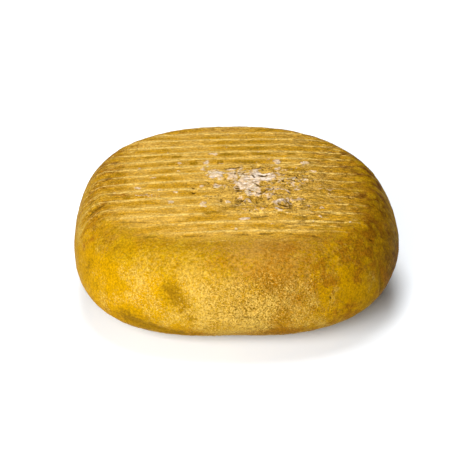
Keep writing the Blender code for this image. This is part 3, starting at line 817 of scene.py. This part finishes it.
def colourShares(points):
    # how strongly each layer of the finish shows at each point, 0 to about 1, before its fine
    # pattern breaks it up
    x, y, z = points.T
    onTop = ramp(z, 14, 27)
    below = 1 - onTop
    towardsFront = ramp(y, -40, -75)
    front = towardsFront * below
    inKnot = knotShare(points)
    away, rows = ridgeRows(points)
    fade = ridgeFade(points)
    dryTop = np.maximum(fade, inKnot) * onTop
    left = ramp(x, 15, -55)
    right = ramp(x, 25, 60) * np.maximum(below, (1 - fade) * ramp(y, -25, -50))
    # patterns from broad to fine: cell in millimetres, seed, layers
    broad = noise(points, 38, 51, 2)
    cloud = noise(points, 20, 52, 3)
    patchy = noise(points, 12, 62, 3)
    small = noise(points, 8, 53, 3)
    flecks = noise(points, 5.5, 63, 3)
    bright, dim = ramp(flecks, 0.05, 0.55), ramp(flecks, -0.05, -0.55)
    golden, browned, smudged = [stain(points, name) for name in ("gold", "brown", "smudge")]
    marked = np.minimum(browned + smudged, 1) * below

    upper = ((0.9 - 0.25 * broad) * dryTop * (1 - 0.5 * ramp(x, 20, 80))
             * (1 - 0.5 * ramp(x, -60, -88)))
    tan = (0.78 + 0.5 * small) * hump(x, 20, 37) * towardsFront * (1 - 0.7 * dryTop)
    gold = (0.22 + 0.3 * left - 0.1 * right + 0.7 * cloud + 0.2 * broad) * below + golden
    gold += (0.8 * ramp(patchy, 0, 0.5) + 0.5 * bright) * right + 0.6 * ramp(x, -80, -95)
    bloom = (0.10 + 0.45 * small - 0.5 * cloud) * below + stain(points, "bloom")
    bloom += (0.15 * hump(x, 5, 42) * front + 0.08 * ramp(z, -2, -20)
              - 0.02 * ramp(x, 30, 60)) * below
    bloom += 0.4 * inKnot * (0.5 + small) - 0.9 * marked
    # a paler band high on the front, left of the middle: painted light on a band that the lamps
    # leave dull
    bloom += 0.25 * hump(x, -36, 20) * ramp(y, -62, -72) * ramp(z, 12, 22)
    bloom += 0.35 * ramp(x, -86, -96) * hump(z, 16, 14) * (y < 0)
    smudge = 1.15 * smudged
    brown = (1.1 + 0.85 * ramp(x, -60, -80) * onTop) * browned
    brown += ((0.34 + 0.2 * right) * ramp(broad + 0.9 * small, 0.1, 0.9) * below
              * (1 - 0.7 * ramp(x, -75, -90)) * (1 - 0.6 * hump(x, -30, 16)))
    brown += 0.75 * ramp(patchy, 0, -0.6) * right + 0.35 * hump(z, -17, 8) * left
    brown += 0.5 * hump(x, 26, 16) * ramp(y, -62, -76) - 0.6 * golden * right
    brown = np.minimum(brown, 1.6 - 0.8 * right) + (0.45 * dim - 0.55 * bright) * right
    # brown and pale streaks that run on from the ridges, down over the left shoulder
    streaks = noise(points * [0.2, 1.3, 0.2], 4.5, 64, 2)
    shoulder = ramp(x, -62, -84) * ramp(z, 6, 20) * ramp(y, -62, -44)
    brown += 0.95 * ramp(streaks, -0.1, 0.45) * shoulder
    bloom += 0.4 * ramp(streaks, -0.1, -0.5) * shoulder
    # pale and dark dots, thickest in the middle of the front
    stippled = hump(x, 5, 40) * front * (1 + 0.6 * ramp(z, -8, 6))
    paleDots = (0.04 + 0.34 * np.clip(bloom, 0, 1) * below + 0.10 * small + 0.08 * dryTop
                + 0.10 * inKnot - 0.05 * ramp(x, 40, 80) + 0.2 * stippled - 0.2 * marked)
    darkDots = (0.02 + 0.12 * ramp(x, 20, 60) * onTop + 0.2 * np.clip(brown + smudge, 0, 1)
                + 0.22 * stippled + 0.15 * inKnot - 0.15 * left * below + 0.12 * cloud)
    # umber brown over the right end, high on the left shoulder, over the top's right part and at
    # the back: on the right end it is partly a real olive-brown stain and partly painted shade for
    # the side turned from the key light; over the top it darkens towards the right, and it darkens
    # towards the back
    umberAndShade = (ramp(x, 76, 97) * (0.72 + 0.3 * small) * (1 - 0.6 * onTop)
             * (1 - 0.75 * ramp(y, -55, -10) * ramp(z, -5, 10)))
    umberAndShade += (0.58 * ramp(x, -58, -88) * ramp(z, 20, 30) * (1 + 2.2 * small)
              * (1 - 0.3 * ramp(y, -30, -50)))
    umberAndShade += (0.42 * ramp(x, 10, 75) * onTop * (1 + 1.2 * small + 0.5 * cloud)
              * (1 - 0.5 * ramp(y, -50, -70)) + 0.5 * ramp(y, 52, 90))
    umberAndShade -= (0.7 * flecks * ramp(x, 50, 80) + 0.1 * ramp(x, 70, 85)) * onTop

    # pale worn crests of the cloth's folds, and finer lines between them
    worn = ramp(noise(points * [0.35, 1, 1], 7, 54, 3), -0.6, 0.5)
    crest = (0.45 + 0.55 * worn + 0.35 * (1 - worn) * ramp(x, 10, -30)) * hump(away, -0.1, 1)
    crest *= fade * (1 - 0.55 * inKnot) * (1 - 0.5 * ramp(x, -55, -82))
    crest *= 1 - 0.5 * ramp(y, -44, -54) * ramp(x, -10, -35)
    crest += (0.5 * thirdLines(rows, 0.2) * fade * (1 - hump(away, 0, 2.5))
              * ramp(noise(points * [0.3, 1, 1], 6, 55, 2), 0, 0.6))
    fine = noise(points * [0.14, 1, 1], 2.3, 61, 2)
    crest += (0.45 + 0.65 * ramp(x, 0, 60)) * ramp(fine, -0.3, -0.7) * fade
    oiled = ((0.68 + 0.95 * noise(points * [0.4, 1, 1], 9, 58, 3)) * (1 - hump(away, 0, 2.1))
             * fade * (1 - 0.5 * inKnot))
    # dark olive stretches in the valleys, and dark threads
    dark = np.zeros(len(points))
    for atX, atY, half, strength in dashes["places"]:
        atRow = (ridges["first"] + math.tan(ridges["skew"]) * atX - atY) / ridges["pitch"]
        across = hump((rows - atRow) * ridges["pitch"], 0, dashes["halfWidth"])
        dark = np.maximum(dark, strength * np.exp(-((x - atX) / half) ** 4) * across)
    loose = ramp(noise(points * [0.25, 1, 1], 7, 56, 2) + 0.2 * broad, 0.1, 0.8)
    loose *= hump(np.abs(away), ridges["pitch"] / 2, 2.6)
    threads = 0.8 * ramp(fine, 0.3, 0.7) * (0.35 + 1.15 * ramp(x, -20, 50))
    valley = np.maximum(dark, 0.75 * np.maximum(loose, threads) * fade) * (z > 0)
    cloth = onTop * np.maximum(fade * (0.52 + 0.58 * ramp(x, 0, 60)), 0.75 * inKnot)

    # mould in its patches, a haze of it along the crests, and the disc with a bare part and a hole
    powder = noise(points, 2.4, 60, 2)
    mouldy = spots(points, mould) * (0.85 + 0.4 * powder)
    haze = ramp(noise(points * [0.6, 1, 1], 3.2, 57, 3), 0.45, 1)
    mouldy += (haze * (0.75 + 0.5 * hump(x, -42, 22)) * hump(away, 0, 2.6) * onTop
               * (1 - 0.7 * ramp(x, 20, 60)) * ramp(cloud, -0.5, 0.5))
    bare = oval(points, "discBare", 0.3)
    disc = oval(points, "disc", 0.1) * (1 - bare) * (1 + 0.3 * powder)
    mouldy = np.maximum(mouldy, disc) * (1 - 0.9 * bare)
    mouldy *= 1 - 0.95 * oval(points, "discHole", 0.2)
    mouldy = np.maximum(mouldy, 0.95 * oval(points, "smooth") * (0.75 + 0.6 * powder))
    lifted = lineShares(points, curls)[1]
    white = np.maximum(0.8 * ramp(mouldy + 0.25 * powder, 0.6, 1.15),
                       0.7 * ramp(lifted, 0.5, 1))
    smooth = smoothShare(points)
    curl, gap = curlShares(points)
    mouldy += 1.1 * lifted + 0.65 * curl * (1 - smooth)
    mouldy += 0.12 * inKnot * ramp(noise(points, 10, 59, 3), -0.1, 0.8)
    # painted shade in pits, creases and hollows, in the gaps under the curled edges, and as a thin
    # dark line along the riser of each ledge
    pastFoot = (crustField(points) - knot["riser"][0]) % 1
    edge = 0.85 * hump(pastFoot, 0.12, 0.1) * ramp(inKnot, 0.25, 0.7)
    edge *= ramp(small, -0.3, 0.4)
    creviceShade = np.maximum.reduce([
        spots(points, hollows, 6),
        lineShares(points, creases)[1],
        ramp(proudness, -0.10, -0.42) * (0.75 * inKnot + 0.35 * front + 0.15),
        np.maximum(edge, 0.6 * gap) * (1 - 0.85 * smooth),
    ])
    return {"upper": upper, "tan": tan, "gold": gold, "bloom": bloom, "smudge": smudge,
            "brown": brown, "paleDots": paleDots, "darkDots": darkDots, "umberAndShade": umberAndShade,
            "crest": crest, "oiled": oiled, "valley": valley, "mould": mouldy, "white": white,
            "creviceShade": creviceShade, "cloth": cloth}


for shareName, share in colourShares(plainPoints).items():
    attribute = rind.data.attributes.new(shareName, "FLOAT", "POINT")
    attribute.data.foreach_set("value", np.clip(share, 0, 1.5).astype(np.float32))
print("stage 3: colour layers placed")

finish = {
    "ochre": "#99770A", "deepOchre": "#815A00",
    "roughness": (0.52, 0.70), "specular": 0.015, "specularTint": "#FFBC50",
    # sizes in millimetres, and what the darkest and the lightest multiply the colour by
    "mottleSize": 9.0,
    "grainSize": 1.3, "grainShade": (0.64, 1.32), "grainBump": 0.10,
    "threadSize": 1.2, "threadStretch": 3.5, "threadShade": (0.54, 1.46), "threadBump": 0.15,
    # attribute: colour, pattern size, how far the pattern breaks the edge, softness
    "layers": [
        ("upper", "#B08A3B", 9.0, 1.0, 0.9), ("tan", "#926C26", 1.4, 2.4, 0.7),
        # umberAndShade: umber brown, with painted shade over the right end
        ("gold", "#9A7101", 5.0, 0.8, 0.7), ("umberAndShade", "#5D3502", 3.5, 1.4, 0.9),
        ("brown", "#835507", 2.4, 1.8, 0.9), ("smudge", "#775607", 2.4, 1.8, 0.9),
        ("bloom", "#A07E2A", 2.2, 1.8, 0.7), ("oiled", "#966D0C", 2.4, 1.8, 0.9),
        ("crest", "#B49750", 1.2, 1.6, 0.8), ("valley", "#7E5B00", 2.2, 1.0, 0.6),
        ("paleDots", "#AC8C40", 0.8, 3.2, 0.7), ("darkDots", "#67470A", 0.9, 3.2, 0.6),
        ("mould", "#AF977A", 1.6, 1.4, 0.5), ("white", "#C4B4A2", 1.2, 1.6, 0.5),
        # creviceShade is painted shade in pits, creases, hollows and under curled edges
        ("creviceShade", "#3E2803", 1.2, 0.6, 0.8),
    ],
    "alongThreads": ("crest", "valley", "oiled"),  # layers whose pattern is drawn out like them
}


def makeRindFinish():
    # Oiled, cloth-pressed cheese rind: matt to faintly waxy, mottled ochre, with a grain of about
    # a millimetre from the cloth that makes it sparkle from dark to light.
    material, add, shader = newMaterial("oiled cheese rind")
    place = add("TexCoord", output="Object")
    inMm = add("VectorMath", {0: place, 1: (1 / mm,) * 3}, operation="MULTIPLY")
    # threads: the same pattern drawn out along X
    drawnOut = add("VectorMath", {0: inMm, 1: (1 / finish["threadStretch"], 1, 1)},
                   operation="MULTIPLY")
    mottle = add("TexNoise", {"Vector": inMm, "Scale": 1 / finish["mottleSize"], "Detail": 4,
                              "Roughness": 0.6})
    thread = add("TexNoise", {"Vector": drawnOut, "Scale": 1 / finish["threadSize"], "Detail": 3,
                              "Roughness": 0.65})
    blend = add("Math", {0: mottle, 1: 0.5}, operation="MULTIPLY")
    blend = add("Math", {0: thread, 1: 0.5, 2: blend}, operation="MULTIPLY_ADD")
    blend = add("MapRange", {"Value": blend, "From Min": 0.38, "From Max": 0.62})
    colour = add("Mix", {0: blend, 6: linearColour(finish["ochre"]),
                         7: linearColour(finish["deepOchre"])}, 2, data_type="RGBA")
    for name, hexText, size, breakUp, soft in finish["layers"]:
        share = add("Attribute", output="Fac", attribute_name=name)
        along = drawnOut if name in finish["alongThreads"] else inMm
        pattern = add("TexNoise", {"Vector": along, "Scale": 1 / size, "Detail": 3,
                                   "Roughness": 0.65})
        # share + breakUp * (pattern - 0.5), then a soft threshold at a half
        broken = add("Math", {0: pattern, 1: breakUp, 2: share}, operation="MULTIPLY_ADD")
        middle = 0.5 + breakUp / 2
        cover = add("MapRange", {"Value": broken, "From Min": middle - soft / 2,
                                 "From Max": middle + soft / 2}, interpolation_type="SMOOTHSTEP")
        # nothing shows where the share is nil
        present = add("MapRange", {"Value": share, "From Max": 0.15})
        cover = add("Math", {0: cover, 1: present}, operation="MULTIPLY")
        colour = add("Mix", {0: cover, 6: colour, 7: linearColour(hexText)}, 2, data_type="RGBA")
    grain = add("TexNoise", {"Vector": inMm, "Scale": 1 / finish["grainSize"], "Detail": 3,
                             "Roughness": 0.75})
    darkest, lightest = finish["grainShade"]
    sparkle = add("MapRange", {"Value": grain, "From Min": 0.34, "From Max": 0.66,
                               "To Min": darkest, "To Max": lightest})
    colour = add("Mix", {0: 1, 6: colour, 7: sparkle}, 2, data_type="RGBA", blend_type="MULTIPLY")
    # darker and lighter threads on the top only
    onTop = add("Attribute", output="Fac", attribute_name="cloth")
    darkest, lightest = finish["threadShade"]
    lined = add("MapRange", {"Value": thread, "From Min": 0.36, "From Max": 0.64,
                             "To Min": darkest, "To Max": lightest})
    lined = add("Mix", {0: 1, 6: colour, 7: lined}, 2, data_type="RGBA", blend_type="MULTIPLY")
    colour = add("Mix", {0: onTop, 6: colour, 7: lined}, 2, data_type="RGBA")
    smoothest, roughest = finish["roughness"]
    rough = add("MapRange", {"Value": mottle, "From Min": 0.35, "From Max": 0.65,
                             "To Min": smoothest, "To Max": roughest})
    bump = add("Bump", {"Height": grain, "Strength": 0.8, "Distance": finish["grainBump"] * mm})
    bump = add("Bump", {"Height": thread, "Normal": bump, "Strength": 0.6,
                        "Distance": finish["threadBump"] * mm})
    fillSockets(shader, {"Base Color": colour, "Roughness": rough, "Normal": bump,
                         "Specular IOR Level": finish["specular"],
                         "Specular Tint": linearColour(finish["specularTint"])})
    return material


rind.data.materials.append(makeRindFinish())
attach(rind, "root")
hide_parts("cheese")


# loose mould flakes and crumbs of crust on the rind

flakes = {
    "count": 150,
    "length": (1.0, 3.2),  # shortest and longest
    "slender": (0.45, 0.85),  # width as a share of the length
    "thickness": 0.30, "curl": 0.45, "lift": 0.05, "ragged": 0.30,
    "tilt": 0.30,  # radians
    "seed": 71,
    "finish": ("dry mould flake", "#C2B294", "#A18A5C", 1.4),  # name, pale, dark, pattern size
}
crumbs = {
    "count": 130,
    "length": (0.7, 1.9), "slender": (0.6, 1.0),
    "thickness": 0.75,  # as a share of the length
    "lift": 0.10, "ragged": 0.28, "tilt": 0.6, "seed": 72,
    "finish": ("crumb of oiled crust", "#B08C48", "#76520E", 1.2),
}
ballShape = 4, 8  # rings and rows of the ball that each of them is made from: 40 faces


def unitBall():
    # a ball's points by latitude and longitude, then its two tips
    rings, rows = ballShape
    latitude = math.pi * (np.arange(rings) + 1) / (rings + 1)
    down, around = np.meshgrid(latitude, 2 * math.pi * np.arange(rows) / rows, indexing="ij")
    side = np.stack([np.sin(down) * np.cos(around), np.sin(down) * np.sin(around), np.cos(down)],
                    axis=-1)
    return np.concatenate([side.reshape(-1, 3), [[0, 0, 1], [0, 0, -1]]])


def scattered(name, chances, table, shapes):
    # copies of one closed shape on the rind: their points are turned to the rind's own slope and
    # set on points of it drawn by the given chances
    random = np.random.default_rng(table["seed"])
    count = table["count"]
    vertices = rind.data.vertices
    places, slopes = np.empty((2, 3 * len(vertices)))
    vertices.foreach_get("co", places)
    rind.data.vertex_normals.foreach_get("vector", slopes)
    chosen = random.choice(len(chances), count, replace=False, p=chances / chances.sum())
    places, slopes = places.reshape(-1, 3)[chosen] / mm, slopes.reshape(-1, 3)[chosen]
    slopes = unit(slopes + random.normal(0, table["tilt"] / 2, (count, 3)))
    along = unit(np.cross(random.normal(size=(count, 3)), slopes))
    turned = np.stack([along, np.cross(slopes, along), slopes], axis=1)
    local = shapes(random, count, table)
    local[:, :, 2] += table["lift"]
    points = places[:, None, :] + np.einsum("nki,nij->nkj", local, turned)
    quads, triangles = gridFaces(*ballShape)
    offsets = (np.arange(count) * local.shape[1])[:, None, None]
    return makePiece(name, points.reshape(-1, 3), (quads + offsets).reshape(-1, 4),
                     (triangles + offsets).reshape(-1, 3))


def drawnSizes(random, count, table):
    length = random.uniform(*table["length"], count) * random.uniform(0.6, 1, count)
    return length, length * random.uniform(*table["slender"], count)


def flakeShapes(random, count, table):
    # a ball pressed flat, its rim ragged by three waves and its ends curled up by the square of
    # their distance
    ball = unitBall()
    length, width = drawnSizes(random, count, table)
    around = np.arctan2(ball[:, 1], ball[:, 0])
    phase = random.uniform(0, 2 * math.pi, (count, 3))
    waves = [np.sin((k + 2) * around + phase[:, k:k + 1]) / (k + 1) for k in range(3)]
    rim = 1 + table["ragged"] * sum(waves) / 1.4
    x = ball[:, 0] * rim * length[:, None] / 2
    y = ball[:, 1] * rim * width[:, None] / 2
    z = ball[:, 2] * table["thickness"] / 2 + table["curl"] * (x / length[:, None]) ** 2
    return np.stack([x, y, z], axis=-1)


def crumbShapes(random, count, table):
    # a ball with each point moved in or out by chance
    ball = unitBall()
    length, width = drawnSizes(random, count, table)
    half = np.stack([length, width, length * table["thickness"]], axis=-1)[:, None, :] / 2
    return ball * half * (1 + table["ragged"] * random.uniform(-1, 1, (count, len(ball), 1)))


def makeLooseFinish(name, paleText, darkText, size):
    # dry, chalky bits: quite matt, mottled from pale to darker within a millimetre or two
    material, add, shader = newMaterial(name)
    place = add("TexCoord", output="Object")
    pattern = add("TexNoise", {"Vector": place, "Scale": 1 / (size * mm), "Detail": 3,
                               "Roughness": 0.6})
    blend = add("MapRange", {"Value": pattern, "From Min": 0.35, "From Max": 0.65})
    colour = add("Mix", {0: blend, 6: linearColour(paleText), 7: linearColour(darkText)}, 2,
                 data_type="RGBA")
    rough = add("MapRange", {"Value": blend, "To Min": 0.7, "To Max": 0.9})
    bump = add("Bump", {"Height": pattern, "Strength": 0.5, "Distance": 0.1 * mm})
    fillSockets(shader, {"Base Color": colour, "Roughness": rough, "Normal": bump,
                         "Specular IOR Level": 0.15})
    return material


def makeLoosePieces():
    points = plainPoints
    onTop = ramp(points[:, 2], 26, 32)
    crusted = 1 - 0.9 * smoothShare(points)
    away, _ = ridgeRows(points)
    flakeChances = (ramp(spots(points, mould), 0.35, 1) * crusted
                    + 0.004 * hump(away, 0, 1.5) * onTop * ridgeFade(points))
    crumbChances = (knotShare(points) ** 2 * crusted + 0.01) * onTop
    for name, chances, table, shapes in (("mouldFlakes", flakeChances, flakes, flakeShapes),
                                         ("crustCrumbs", crumbChances, crumbs, crumbShapes)):
        piece = scattered(name, chances, table, shapes)
        piece.data.materials.append(makeLooseFinish(*table["finish"]))
        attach(piece, "root")
    print("stage 4:", flakes["count"], "flakes and", crumbs["count"], "crumbs")


makeLoosePieces()


# floor, light and camera

studio = {
    "floorColour": "#EEF2F6",
    "floorReach": 15.0,  # metres from the middle to each side
    "floorGlow": (0.3, 1.2, 0.9),  # metres from the middle where it starts and is full; strength
    "elevation": 29.98,  # degrees the camera looks down
    "azimuth": 0.4,
    "distance": 0.8798,  # metres from the loaf's middle to the camera
    "pixelsPerRadian": 1387.8,
    "middlePixel": (234.7, 228.1),  # where the loaf's middle falls in the 452 x 452 frame
    "frameWidth": 452,
    "sensor": 36.0,
    "clip": (0.05, 40),
    "ambient": 0.0,
    # name: azimuth from the camera to the left, elevation, distance, size, watts
    "lights": {
        "keyLight": (32, 26, 0.8, 0.45, 7.7),
        "frontLight": (6, 26, 0.8, 0.45, 3.7),
        "topLight": (0, 88, 0.8, 0.45, 3.5),
        "backLight": (180, 50, 0.8, 0.45, 5.0),
    },
}


def makeFloor():
    floorMesh = bpy.data.meshes.new("floor")
    half = studio["floorReach"]
    corners = [(-half, -half, 0), (half, -half, 0), (half, half, 0), (-half, half, 0)]
    floorMesh.from_pydata(corners, [], [(0, 1, 2, 3)])
    paper, add, shader = newMaterial("matt studio paper")
    # beyond the reach of the lamps the paper glows, as if lamps of its own lit it, so that it
    # stays pale to the horizon
    start, full, strength = studio["floorGlow"]
    place = add("TexCoord", output="Object")
    reach = add("VectorMath", {0: place}, "Value", operation="LENGTH")
    glow = add("MapRange", {"Value": reach, "From Min": start, "From Max": full,
                            "To Max": strength}, interpolation_type="SMOOTHSTEP")
    white = linearColour(studio["floorColour"])
    fillSockets(shader, {"Base Color": white, "Roughness": 0.9, "Specular IOR Level": 0.1,
                         "Emission Color": white, "Emission Strength": glow})
    floorMesh.materials.append(paper)
    return addObject("floor", floorMesh)


def aim(thing, azimuth, elevation, distance):
    # round the loaf's middle, looking at it
    turn, tilt = math.radians(azimuth), math.radians(elevation)
    level = -math.cos(tilt)
    away = Vector((math.sin(turn) * level, math.cos(turn) * level, math.sin(tilt)))
    thing.location = Vector(formShift) * mm + away * distance
    thing.rotation_euler = (-away).to_track_quat("-Z", "Y").to_euler()


def makeStudio():
    floor = makeFloor()
    scene = bpy.context.scene
    scene.world = bpy.data.worlds.new("studioAir")
    scene.world.use_nodes = True
    background = scene.world.node_tree.nodes["Background"]
    fillSockets(background, {"Color": (1, 1, 1, 1), "Strength": studio["ambient"]})
    for name, (azimuth, elevation, distance, size, watts) in studio["lights"].items():
        lamp = bpy.data.lights.new(name, "AREA")
        lamp.shape = "DISK"
        lamp.size = size
        lamp.energy = watts
        aim(addObject(name, lamp), azimuth, elevation, distance)
    lens = bpy.data.cameras.new("camera")
    width, (middleX, middleY) = studio["frameWidth"], studio["middlePixel"]
    lens.sensor_width = studio["sensor"]
    lens.lens = studio["pixelsPerRadian"] * studio["sensor"] / width
    lens.shift_x = (width / 2 - middleX) / width
    lens.shift_y = (middleY - width / 2) / width
    lens.clip_start, lens.clip_end = studio["clip"]
    scene.camera = addObject("camera", lens)
    aim(scene.camera, studio["azimuth"], studio["elevation"], studio["distance"])
    scene.view_settings.view_transform = "Standard"
    print("stage 5: floor, lights and camera")


makeStudio()
